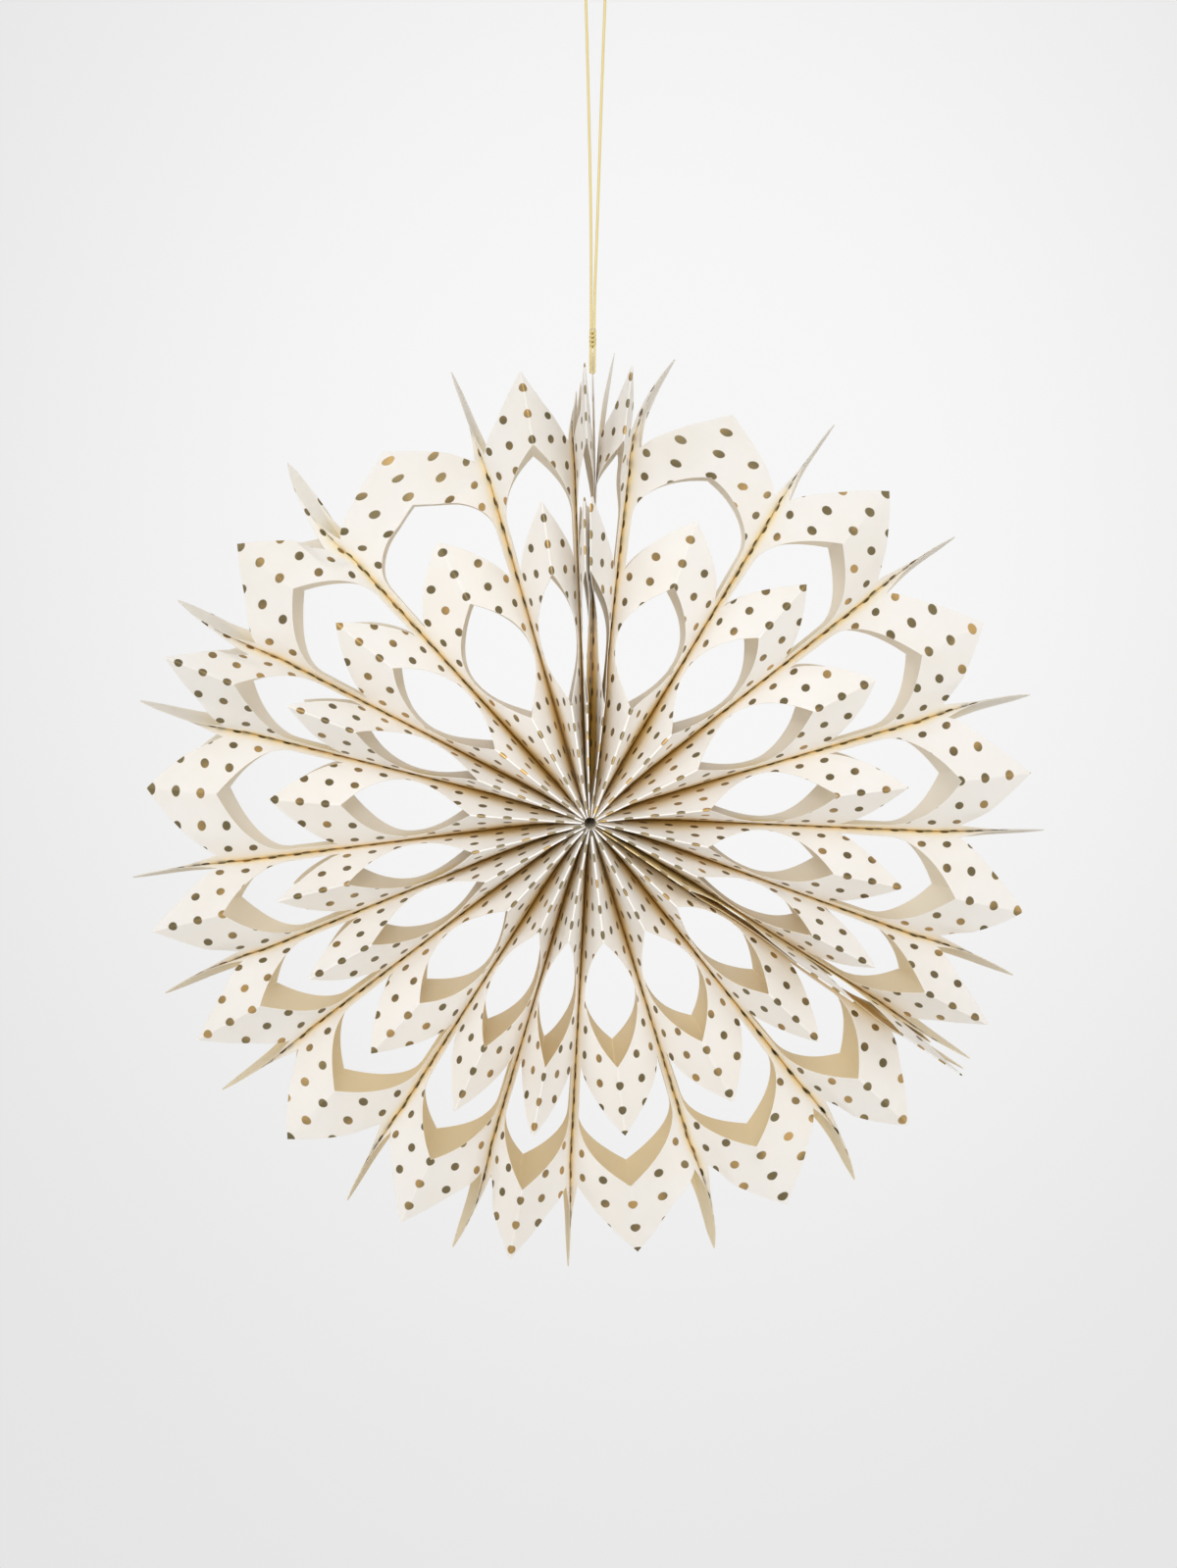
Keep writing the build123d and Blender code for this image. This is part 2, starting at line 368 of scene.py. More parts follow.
@dataclass
class Bag:
    """One bag between two seams, cut and opened. Its sizes are in millimetres.

    Attributes:
        number: Its place in the circle, from 1.
        low: The seam on its clockwise side.
        high: The seam on its counterclockwise side.
        template: The cuts.
        print_shift: Where a column of dots lies beside the side fold, and a row along the bag.
        pressed: How much wider the bags lie together at the hub, and within what distance.
        leans: How far its folds lean counterclockwise by the hub, at the inner petal and at the outer
            petal, as shares of the distance from the hub.
        least_rise: Height that the flattest fold keeps.
        steepest_fall: Slope of a fold past the outer window.
        counted_slope: Slope that a fold's paper is counted with at most.
        level_within: Distance from the hub within which its slope isn't counted.
        half_seam: Half the space between the faces of two glued bags.
        ripple: Height of the sheet's uneven waves.
        wave_paces: Distances in which the long and the short wave turn by a radian.
        wave_starts: How much a panel's bag, side and face shift the long wave's start.
        short_wave: Height of the short wave, and its start, as shares of the long one's.
        calm: Distance from the hub within which the waves are lower.
        pitch: From dot to dot.
        thickness: Of the sheet.
        weld: Points closer than this become one.
        fold_angle: Faces that meet at more than this many degrees keep a sharp edge.
        parting: Distances between which the two end faces come apart.
        round_share: Most of a panel's width from the front that the fold's rounded edge takes.
        gape: How far each of the two end faces stands back from the seam in front of it, by the hub.
        gape_along: Distances from the hub where that begins, is full, is full still and ends.
        gape_across: The same in shares of the way from the glue to the fold.
        gather: How far before and past the outer petal's root the spike's panels draw in to the seam.
        gather_share: Share of the way that they draw in.
        gather_hold: Shares of the way to the fold between which they stop drawing in.
        bend_start: Distance from the hub past which a spike turns and curls.
        bend_hold: Shares of the way to the fold between which a panel stops following the spike.
        turn_power: Power of the share past the bend's start by which the spike turns.
        curl_power: Power by which it curls.
        shade_reach_shares: Share by which the distances from the seam are shortened on its low and its high
            panels, so that the glue's tint and the painted crease shade reach further.
        pull: How much sooner its outer petal ends than the template says.
    """

    number: int
    low: Seam
    high: Seam
    template: Template
    print_shift: Span
    pressed: Span = (37.0, 12.0)
    leans: Triple = (-0.012, -0.012, -0.012)
    least_rise: float = 6.0
    steepest_fall: float = 0.2
    counted_slope: float = 0.8
    level_within: float = 36.0
    half_seam: float = 0.01
    ripple: float = 0.8
    wave_paces: Span = (17.0, 8.5)
    wave_starts: Triple = (1.7, 0.9, 0.6)
    short_wave: Span = (0.6, 2.3)
    calm: float = 60.0
    pitch: float = 12.5
    thickness: float = 0.22
    weld: float = 0.02
    fold_angle: float = 24.0
    parting: Span = (165.0, 222.0)
    round_share: float = 0.4
    gape: float = 1.8
    gape_along: tuple[float, float, float, float] = (8.0, 30.0, 80.0, 115.0)
    gape_across: tuple[float, float, float, float] = (0.0, 0.25, 0.6, 1.0)
    gather: Span = (8.0, 25.0)
    gather_share: float = 0.75
    gather_hold: Span = (0.1, 0.35)
    bend_start: float = 172.0
    bend_hold: Span = (0.15, 0.6)
    turn_power: float = 0.7
    curl_power: float = 1.9
    shade_reach_shares: Span = (1.0, 1.0)
    pull: float = 0.0

    def __post_init__(self) -> None:
        """Work out the bag's middle direction and tables of its fold's height and reach.

        The height is the glue's half width and the third side of a right triangle, whose long side is the
        panel and whose short side is half the gap between the seams. Past the outer window it falls
        evenly. The reach is the paper's length less what its slope takes, in steps of a millimetre.
        """
        cut = self.template
        self.low_ends, self.high_ends = self.low.ends(cut), self.high.ends(cut)
        run = self.low_ends[1] - self.low_ends[0] + self.high_ends[1] - self.high_ends[0]
        self.axis = run / np.linalg.norm(run)
        self.steps = np.linspace(0.0, cut.spike_reach, round(cut.spike_reach) + 1)
        gap = (self.seam_line(Side.HIGH, self.steps)[1] - self.seam_line(Side.LOW, self.steps)[1]) / 2.0
        wide = self.glue_width(self.steps)
        panel = cut.half_face - wide
        rise = wide + np.sqrt(np.maximum(panel ** 2 - gap ** 2, self.least_rise ** 2))
        kink = np.searchsorted(self.steps, cut.outer_window_end)
        fall = min(float(rise[kink - 1] - rise[kink]), self.steepest_fall)
        straight = rise[kink] - fall * (self.steps - self.steps[kink])
        self.rises = np.where(self.steps > self.steps[kink], np.maximum(straight, self.least_rise), rise)
        slope = np.clip(np.gradient(self.rises, self.steps), -self.counted_slope, self.counted_slope)
        slope = np.where(self.steps < self.level_within, 0.0, slope)
        self.reaches = np.concatenate([[0.0], np.cumsum(np.sqrt(1.0 - slope[1:] ** 2))])

    def seam(self, side: Side) -> Seam:
        """The seam on a side."""
        return self.low if side is Side.LOW else self.high

    def seam_ends(self, side: Side) -> np.ndarray:
        """The inner end and the tip of the seam on a side, as (x, z) rows."""
        return self.low_ends if side is Side.LOW else self.high_ends

    def glue_width(self, along: np.ndarray) -> np.ndarray:
        """Half width of the strip that lies in the seam's plane: the glue, and more by the hub."""
        extra, within = self.pressed
        return self.template.glue + extra * np.exp(-(along / within) ** 2)

    def seam_line(self, side: Side, along: np.ndarray) -> tuple[np.ndarray, np.ndarray]:
        """Where a seam runs, measured along the bag's middle and across it.

        Args:
            side: Which of the two seams.
            along: Distances along the bag.

        Returns:
            Two arrays. The line is straight from the hub's ring to the tip, apart from an end face's lean.
        """
        cut = self.template
        ends, seam = self.seam_ends(side), self.seam(side)
        along = np.asarray(along) - seam.shortfall * ease(along, cut.outer_petal_root, cut.spike_reach)
        share = (along - cut.hub_radius) / (cut.spike_reach - cut.hub_radius)
        line = ends[0] + (ends[1] - ends[0]) * share[..., None]
        lean = math.radians(seam.meeting) * along * (1.0 - ease(along, *self.parting))
        forward = line @ self.axis
        across = line @ np.array([-self.axis[1], self.axis[0]])
        return forward, across + lean + side.value * self.half_seam

    def fold_across(self, along: np.ndarray) -> np.ndarray:
        """How far across the folds stand: midway between the seams, with the bag's own lean."""
        cut = self.template
        by_hub, inner, outer = self.leans
        lean = (by_hub + (inner - by_hub) * ease(along, cut.inner_window_start, cut.inner_window_end)
                + (outer - inner) * ease(along, cut.outer_window_bend, cut.outer_window_end))
        low, high = (self.seam_line(side, along)[1] for side in Side)
        return (low + high) / 2.0 + lean * along

    def panel_share(self, along: np.ndarray, out: np.ndarray) -> np.ndarray:
        """Share of the way from the strip by the seam to the near edge of the rounded fold."""
        wide = self.glue_width(along)
        return np.clip((out - wide) / (self.template.half_face - self.template.crease - wide), 0.0, 1.0)

    def off_seam(self, along: np.ndarray, out: np.ndarray, side: Side,
                 face: Face) -> tuple[np.ndarray, np.ndarray, np.ndarray]:
        """How far points stand off their seam, before their spike turns and curls.

        The strip by the seam stays in the seam's plane. From its edge each cross line goes to the fold,
        bent a little as paper is, and over the fold's rounded edge it runs level. Beside the spike it
        first keeps close to the seam. The front of an end face stands back a little by the hub.

        Args:
            along: Distances along the bag.
            out: Distances out from its centre line.
            side: The seam that the panel hangs on.
            face: Front or back.

        Returns:
            Three arrays: onward along the bag's middle, sideways across it, and the height before or
            behind the star's middle plane.
        """
        cut = self.template
        wide, share = self.glue_width(along), self.panel_share(along, out)
        forward, across = self.seam_line(side, along)
        fold = self.fold_across(along)
        before, past = self.gather
        gathered = ease(along, cut.outer_petal_root - before, cut.outer_petal_root + past)
        loose = 1.0 - self.gather_share * gathered * (1.0 - ease(share, *self.gather_hold))
        pulled = self.pull * ease(along, cut.outer_petal_root, cut.outer_petal_tip)
        onward = (np.interp(along, self.steps, self.reaches) - forward - pulled) * share
        edge = side.value * np.minimum(cut.crease, self.round_share * np.abs(fold - across))
        rounded = edge * np.clip((out - cut.half_face) / cut.crease + 1.0, 0.0, 1.0)
        sideways = (fold - across - edge) * cut.bend(share) * loose + rounded
        sideways += self.waves(along, share, side, face)
        if face is Face.FRONT and self.seam(side).meeting:
            gaping = swell(along, self.gape_along) * swell(share, self.gape_across)
            sideways += side.value * self.gape * gaping
        rise = np.interp(along, self.steps, self.rises)
        return onward, sideways, face.value * (np.minimum(out, wide) + (rise - wide) * share)

    def bent(self, aside: np.ndarray, height: np.ndarray, beyond: np.ndarray,
             seam: Seam) -> tuple[np.ndarray, np.ndarray]:
        """Turn a spike's points about their seam and curl them aside.

        Args:
            aside: How far the points stand aside from the seam's plane.
            height: How far before or behind the star's middle plane.
            beyond: Share of the way from the bend's start to the tip.
            seam: The seam, which says how far the tip turns and curls.

        Returns:
            The first two arrays, turned by an angle that grows with a power of the share, and the first
            moved by the curl, which grows with a higher one.
        """
        turn = math.radians(seam.twist) * beyond ** self.turn_power
        curled = aside * np.cos(turn) - height * np.sin(turn) + seam.curl * beyond ** self.curl_power
        return curled, aside * np.sin(turn) + height * np.cos(turn)

    def opened(self, along: np.ndarray, out: np.ndarray, side: Side, face: Face) -> np.ndarray:
        """Where points of the flat bag lie in the star, in metres.

        In the star's plane, places and directions are complex numbers, so that a product turns them.

        Args:
            along: Distances along the bag.
            out: Distances out from its centre line.
            side: The seam that the panel hangs on.
            face: Front or back.

        Returns:
            The points, in an array with one more dimension, of size 3.
        """
        onward, sideways, height = self.off_seam(along, out, side, face)
        inner_end, tip = self.seam_ends(side)
        frame, course = complex(*self.axis), complex(*(tip - inner_end))
        course /= abs(course)
        beside = (onward + 1j * sideways) * frame / course
        past = (along - self.bend_start) / (self.template.spike_reach - self.bend_start)
        held = 1.0 - ease(self.panel_share(along, out), *self.bend_hold)
        aside, height = self.bent(beside.imag, height, np.clip(past, 0.0, 1.0) * held, self.seam(side))
        forward, across = self.seam_line(side, along)
        place = (forward + 1j * across) * frame + (beside.real + 1j * aside) * course
        return np.stack([place.real, height, place.imag], axis=-1) * MM

    def waves(self, along: np.ndarray, share: np.ndarray, side: Side, face: Face) -> np.ndarray:
        """Uneven waves of a panel: two sines along it, strongest in its middle and none at its seam."""
        by_bag, by_side, by_face = self.wave_starts
        start = by_bag * self.number + by_side * side.value + by_face * face.value
        height, ahead = self.short_wave
        long_turn, short_turn = (along / pace for pace in self.wave_paces)
        wave = np.sin(long_turn + start) + height * np.sin(short_turn + ahead * start)
        return self.ripple * wave * share * np.sin(np.pi * share) * np.clip(along / self.calm, 0.0, 1.0)

    def printed(self, along: np.ndarray, out: np.ndarray, side: Side, face: Face) -> np.ndarray:
        """Where points lie on the print, in repeats: it runs on round the front fold and over the seams."""
        beside, first = self.print_shift
        from_fold = self.template.half_face + face.value * out
        across = (side.value * -from_fold - beside) / self.pitch
        return np.stack(np.broadcast_arrays(across, (along - first) / self.pitch), axis=-1)

    def build(self, dotted: bpy.types.Material, bare: bpy.types.Material) -> bpy.types.Object:
        """Make the opened bag as one sheet with a real thickness.

        The closed end at the hub takes the bare finish. Its places on the flat paper are all a metre
        away, where neither the glue's tint nor the painted crease shade reaches.

        Args:
            dotted: The finish of its printed side.
            bare: The finish of its inside and its cut edges.

        Returns:
            The finished piece.
        """
        cut = self.template
        grids = [cut.spine_grid()] + [cut.branch_grid(branch) for branch in cut.branches()]
        rim = np.concatenate([grids[0][1][:, 0], grids[1][1][1:, 0]])
        start = np.full_like(rim, cut.hub_radius)
        onward = np.array([self.axis[0], 0.0, self.axis[1]])
        sideways = np.array([-self.axis[1], 0.0, self.axis[0]])
        sheet = Sheet()
        for face in Face:
            # Shorter flat distances carry the glue's tint and the painted crease shade further from the
            # seam.
            for side, shade_reach_share in zip(Side, self.shade_reach_shares):
                for along, out in grids:
                    flat = np.stack(np.broadcast_arrays(out * shade_reach_share, along), axis=-1) * MM
                    sheet.add(self.opened(along, out, side, face), self.printed(along, out, side, face),
                              -side.value * sideways, places=flat)
            end = np.stack([self.opened(start, rim, side, face) for side in Side])
            sheet.add(end, np.ones(end.shape[:2] + (2,)), -onward, finish=1)
        bag = sheet.build(f"pocket_{self.number:02d}_paper", self.weld * MM)
        bag.data.materials.append(dotted)
        bag.data.materials.append(bare)
        return self.thicken(bag)

    def thicken(self, bag: bpy.types.Object) -> bpy.types.Object:
        """Give the sheet its thickness inwards, with the bare finish inside, and crease its folds."""
        wall = bag.modifiers.new("sheet", "SOLIDIFY")
        wall.thickness = self.thickness * MM
        wall.offset = -1.0
        wall.use_even_offset = False
        wall.material_offset = 1
        wall.material_offset_rim = 1
        solid = bpy.data.meshes.new_from_object(bag.evaluated_get(bpy.context.evaluated_depsgraph_get()))
        flat = bag.data
        bag.modifiers.clear()
        bag.data = solid
        bpy.data.meshes.remove(flat)
        smoothed(solid)
        solid.set_sharp_from_angle(angle=math.radians(self.fold_angle))
        return bag


@dataclass
class Star:
    """All the bags in a circle.

    Attributes:
        openings: Relative angle that each bag is opened to, counterclockwise from the top.
        top_angle: Direction of the first bag's outer face, in degrees.
        top_gap: Angle between the first and the last bag's outer faces, which aren't glued.
        meeting: Angle by which each of them leans to the other.
        curls: Bends of the spikes' tips by seam, to the counterclockwise side, in millimetres.
        twists: Turns of the spikes' tips by seam, in degrees.
        shortfalls: How much sooner a spike ends than the others, by seam, in millimetres.
        leans: Leans of the folds of the bags that lean more than the others do.
        shade_reach_shares_by_bag: Shares for the bags that are pressed together, whose narrow folds take
            more painted crease shade with the glue's tint.
        pulls: How much sooner the outer petals of the widest bags end.
        shifts: Where the print lies on a bag: beside its side fold, then along it, in millimetres.
        shift_step: How much further along it lies on each next bag, where shifts says nothing else.
        template: The cuts of every bag.
    """

    openings: tuple[float, ...] = (2.7, 14.1, 26.0, 20.5, 13.2, 21.3, 15.0, 15.1, 20.2, 16.1, 13.4,
                                   20.2, 21.1, 17.1, 2.0, 12.4, 17.6, 18.6, 22.0, 20.6, 24.8, 4.6)
    top_angle: float = 89.4
    top_gap: float = 1.4
    meeting: float = 0.6
    curls: dict[int, float] = field(default_factory=lambda: {
        1: -2.0, 2: 3.5, 3: -8.0, 4: -2.5, 5: -2.0, 6: 1.5, 7: 2.0, 8: -2.0, 9: 2.0, 10: -4.0, 11: 2.0,
        12: -4.0, 13: -9.0, 14: 2.0, 16: -2.0, 17: 3.0, 18: -3.0, 19: -3.0, 20: -3.0, 21: -17.0, 22: -5.0})
    twists: dict[int, float] = field(default_factory=lambda: {
        0: 8.0, 1: 14.0, 2: 24.0, 3: 95.0, 4: 45.0, 5: 30.0, 6: -20.0, 7: -30.0, 8: 20.0, 9: -25.0,
        10: 30.0, 11: 15.0, 12: 50.0, 13: 40.0, 14: 20.0, 15: -15.0, 16: 30.0, 17: 20.0, 18: 35.0,
        19: 25.0, 20: 20.0, 21: 28.0, 22: 15.0})
    shortfalls: dict[int, float] = field(default_factory=lambda: {1: 19.0})
    leans: dict[int, Triple] = field(default_factory=lambda: {
        1: (0.015, 0.01, 0.0), 3: (-0.012, -0.012, 0.0), 22: (-0.05, 0.07, -0.016)})
    # Pressed bags lie deep in shade: their painted crease shade reaches further.
    shade_reach_shares_by_bag: dict[int, Span] = field(default_factory=lambda: {1: (1.0, 0.9), 15: (0.45, 0.45)})
    pulls: dict[int, float] = field(default_factory=lambda: {3: 6.0, 21: 2.0})
    shifts: dict[int, Span] = field(default_factory=lambda: {3: (0.0, 11.0), 4: (0.0, 2.5), 13: (0.0, 12.0)})
    shift_step: float = 4.5
    template: Template = Template()

    def seams(self) -> list[Seam]:
        """Every seam, from the first bag's outer face round to the last one's."""
        count = len(self.openings)
        spread = (360.0 - self.top_gap) / sum(self.openings)
        meetings = {0: -self.meeting, count: self.meeting}
        return [Seam(root_angle=self.top_angle + 360.0 * index / count,
                     angle=self.top_angle + spread * sum(self.openings[:index]),
                     curl=self.curls.get(index, 0.0),
                     twist=self.twists.get(index, 0.0),
                     meeting=meetings.get(index, 0.0),
                     shortfall=self.shortfalls.get(index, 0.0))
                for index in range(count + 1)]

    def build(self, dotted: bpy.types.Material, bare: bpy.types.Material) -> list[bpy.types.Object]:
        """Make every bag, each in the place of its node.

        Args:
            dotted: The finish of the printed side.
            bare: The finish of the inside.

        Returns:
            The bags' pieces.
        """
        seams = self.seams()
        pieces = []
        for number, (low, high) in enumerate(zip(seams, seams[1:]), start=1):
            shift = self.shifts.get(number, (0.0, self.shift_step * number))
            bag = Bag(number, low, high, self.template, shift)
            bag.leans = self.leans.get(number, bag.leans)
            bag.shade_reach_shares = self.shade_reach_shares_by_bag.get(number, bag.shade_reach_shares)
            bag.pull = self.pulls.get(number, bag.pull)
            piece = bag.build(dotted, bare)
            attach(piece, BODY)
            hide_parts(f"pocket_{number:02d}")
            log.info("%s: %d faces", piece.name, len(piece.data.polygons))
            pieces.append(piece)
        return pieces


@dataclass
class Thread:
    """The gold thread: one length laid double over a hook, and the knot that ties it to the star.

    Attributes:
        diameter: Of the thread, in millimetres, as every size here.
        strand_gap: Between the two strands where they leave the knot.
        top_angle: Direction of the paper face that it is tied through, in degrees.
        face_thickness: Of that paper face.
        clearance: Between the thread and that face.
        knot_base: Height of the knot's lower end.
        knot_height: Of the knot.
        knot_width: Of its belly.
        first_rise: Length that the strands run straight up from the knot.
        left_strand: How far across and how high the left strand goes by.
        right_strand: The same for the right strand, downwards.
        loop_sides: How far across the loop's corners lie.
        loop_top: Height of the loop's corners.
        corner_lead: How far below a corner the thread begins to turn over the hook.
        lead_inside: How far inside the left and the right corner it does.
        length: Of the whole thread from the knot round to the knot. Not used.
        ply_pitch: Length in which the thread's plies turn once.
        plies: How many strands it is twisted of.
        groove_depth: Of the grooves between them, as a share of the radius.
        step: From ring to ring of its mesh.
        least_rings: That a piece of it has.
        around: Steps round a ring.
        spline_steps: Points that the route's spline is read at, from one of its own to the next.
        weld: Points closer than this become one.
        wraps: Turns of the knot.
        knot_taper: How much slimmer the knot is at its ends than at its belly, as a share.
        knot_points: Points along those turns.
        eyelet_reach: Height of the hole in the paper.
        bight_points: Points along the bend of thread through that hole.
        tuck: How far below the knot's top that bend's legs end.
        never_along: A direction in which no part of the thread runs.
    """

    diameter: float = 1.4
    strand_gap: float = 0.1
    top_angle: float = 89.4
    face_thickness: float = 0.3
    clearance: float = 0.1
    knot_base: float = 228.4
    knot_height: float = 9.6
    knot_width: float = 3.8
    first_rise: float = 12.0
    left_strand: tuple[Span, ...] = ((1.5, 290.0), (0.2, 352.0))
    right_strand: tuple[Span, ...] = ((6.6, 352.0), (4.6, 290.0))
    loop_sides: Span = (-1.7, 9.1)
    loop_top: float = 418.0
    corner_lead: float = 8.4
    lead_inside: Span = (0.25, 0.3)
    length: float = 366.6
    ply_pitch: float = 4.2
    plies: int = 3
    groove_depth: float = 0.2
    step: float = 0.3
    least_rings: int = 8
    around: int = 18
    spline_steps: int = 48
    weld: float = 0.005
    wraps: float = 4.0
    knot_taper: float = 0.28
    knot_points: int = 160
    eyelet_reach: float = 217.0
    bight_points: int = 24
    tuck: float = 0.2
    never_along: Triple = (0.0, 1.0, 0.02)

    def face_across(self, height: float) -> float:
        """How far across the first bag's outer face lies at a height."""
        return height / math.tan(math.radians(self.top_angle)) - self.face_thickness / 2.0

    def route(self) -> list[Span]:
        """The thread's points, as (x, z): up from the knot, over the hook and down again."""
        top = self.knot_base + self.knot_height
        middle = self.face_across(self.knot_base + self.knot_height / 2.0)
        half = (self.diameter + self.strand_gap) / 2.0
        left, right = self.loop_sides
        left_inside, right_inside = self.lead_inside
        below = self.loop_top - self.corner_lead
        return [(middle - half, top), (middle - half, top + self.first_rise), *self.left_strand,
                (left + left_inside, below), (left, self.loop_top),
                (right, self.loop_top), (right - right_inside, below),
                *self.right_strand, (middle + half, top + self.first_rise), (middle + half, top)]

    def line(self) -> np.ndarray:
        """Points of the smooth spline through the route, in metres, read back from the curve itself."""
        curve = bpy.data.curves.new("thread_line", "CURVE")
        curve.dimensions = "3D"
        curve.resolution_u = self.spline_steps
        spline = curve.splines.new("NURBS")
        route = self.route()
        spline.points.add(len(route) - 1)
        for point, (x, z) in zip(spline.points, route):
            point.co = (x * MM, 0.0, z * MM, 1.0)
        spline.order_u = 3
        spline.use_endpoint_u = True
        guide = bpy.data.objects.new("thread_line", curve)
        bpy.context.scene.collection.objects.link(guide)
        drawn = bpy.data.meshes.new_from_object(guide.evaluated_get(bpy.context.evaluated_depsgraph_get()))
        points = np.empty(len(drawn.vertices) * 3)
        drawn.vertices.foreach_get("co", points)
        bpy.data.objects.remove(guide)
        bpy.data.curves.remove(curve)
        bpy.data.meshes.remove(drawn)
        return points.reshape(-1, 3)

    def tube(self, path: np.ndarray, sheet: Sheet) -> None:
        """Add a twisted thread along a path: rings whose radius has a lobe for each ply.

        The radius is the thread's own, less a part that follows the cosine of the angle round the ring,
        counted from where the plies have turned to.

        Args:
            path: Points in metres, in order.
            sheet: What the tube is added to.
        """
        runs = np.linalg.norm(np.diff(path, axis=0), axis=1)
        travelled = np.concatenate([[0.0], np.cumsum(runs)])
        count = max(int(travelled[-1] / (self.step * MM)), self.least_rings)
        places = np.linspace(0.0, travelled[-1], count)
        line = np.stack([np.interp(places, travelled, path[:, axis]) for axis in range(3)], axis=1)
        tangent = np.gradient(line, axis=0)
        tangent /= np.linalg.norm(tangent, axis=1)[:, None]
        aside = np.cross(tangent, np.array(self.never_along))
        aside /= np.linalg.norm(aside, axis=1)[:, None]
        upward = np.cross(aside, tangent)
        angle = np.linspace(0.0, 2.0 * math.pi, self.around + 1)[None, :]
        turned = angle - 2.0 * math.pi * places[:, None] / (self.ply_pitch * MM)
        lobe = np.abs(np.cos(self.plies * turned / 2.0))
        radius = (0.5 * self.diameter * MM) * (1.0 - self.groove_depth + self.groove_depth * lobe)
        ring = radius[..., None] * (np.cos(angle)[..., None] * aside[:, None]
                                    + np.sin(angle)[..., None] * upward[:, None])
        round_ply = turned * self.plies / (2.0 * math.pi)
        prints = np.stack(np.broadcast_arrays(round_ply, places[:, None] / MM), axis=-1)
        half = self.around // 2 + 1
        points = line[:, None] + ring
        for low, high, outward in ((0, half, 1.0), (half - 1, self.around + 1, -1.0)):
            sheet.add(points[:, low:high], prints[:, low:high], outward * upward.mean(axis=0))

    def finish_piece(self, sheet: Sheet, name: str, gold: bpy.types.Material) -> bpy.types.Object:
        """Close the tubes' ends, smooth them and dress them.

        Args:
            sheet: The tubes.
            name: The new piece's name.
            gold: Its finish.

        Returns:
            The finished piece.
        """
        piece = sheet.build(name, self.weld * MM)
        closed = bmesh.new()
        closed.from_mesh(piece.data)
        open_edges = [edge for edge in closed.edges if edge.is_boundary]
        bmesh.ops.holes_fill(closed, edges=open_edges, sides=0)
        bmesh.ops.recalc_face_normals(closed, faces=closed.faces)
        closed.to_mesh(piece.data)
        closed.free()
        smoothed(piece.data)
        piece.data.materials.append(gold)
        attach(piece, BODY)
        log.info("%s: %d faces", piece.name, len(piece.data.polygons))
        return piece

    def knot_coil(self, middle: float) -> np.ndarray:
        """Points of the knot's turns: a helix whose radius swells by a sine towards its middle."""
        share = np.linspace(0.0, 1.0, self.knot_points)
        turns = 2.0 * math.pi * self.wraps * share
        swelling = 1.0 - self.knot_taper + self.knot_taper * np.sin(math.pi * share)
        belly = (self.knot_width - self.diameter) / 2.0 * swelling
        rise = self.knot_base + self.diameter / 2.0 + (self.knot_height - self.diameter) * share
        return np.stack([middle + belly * np.cos(turns), belly * np.sin(turns), rise], axis=1)

    def knot_bight(self, middle: float) -> np.ndarray:
        """Points of the bend below the knot: two legs and a half circle through the hole in the paper."""
        leg = self.face_thickness / 2.0 + self.clearance + self.diameter / 2.0
        turn = self.eyelet_reach + leg
        foot = self.face_across(turn)
        bend = np.linspace(0.0, math.pi, self.bight_points)
        top = self.knot_base + self.knot_height - self.tuck
        arc = np.stack([foot - leg * np.cos(bend), np.zeros_like(bend), turn - leg * np.sin(bend)], axis=1)
        return np.concatenate([[[middle - leg, 0.0, top]], arc, [[middle + leg, 0.0, top]]])

    def build_knot(self, gold: bpy.types.Material) -> bpy.types.Object:
        """Make the knot: turns wound round the two strands, and the bight through the paper below."""
        sheet = Sheet()
        middle = self.face_across(self.knot_base + self.knot_height / 2.0)
        for points in (self.knot_coil(middle), self.knot_bight(middle)):
            self.tube(points * MM, sheet)
        knot = self.finish_piece(sheet, "thread_knot_turns", gold)
        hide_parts("thread_knot")
        return knot

    def build(self, gold: bpy.types.Material) -> bpy.types.Object:
        path = self.line()
        sheet = Sheet()
        self.tube(path, sheet)
        thread = self.finish_piece(sheet, "gold_thread", gold)
        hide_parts("hanging_thread")
        knot = self.build_knot(gold)
        return thread


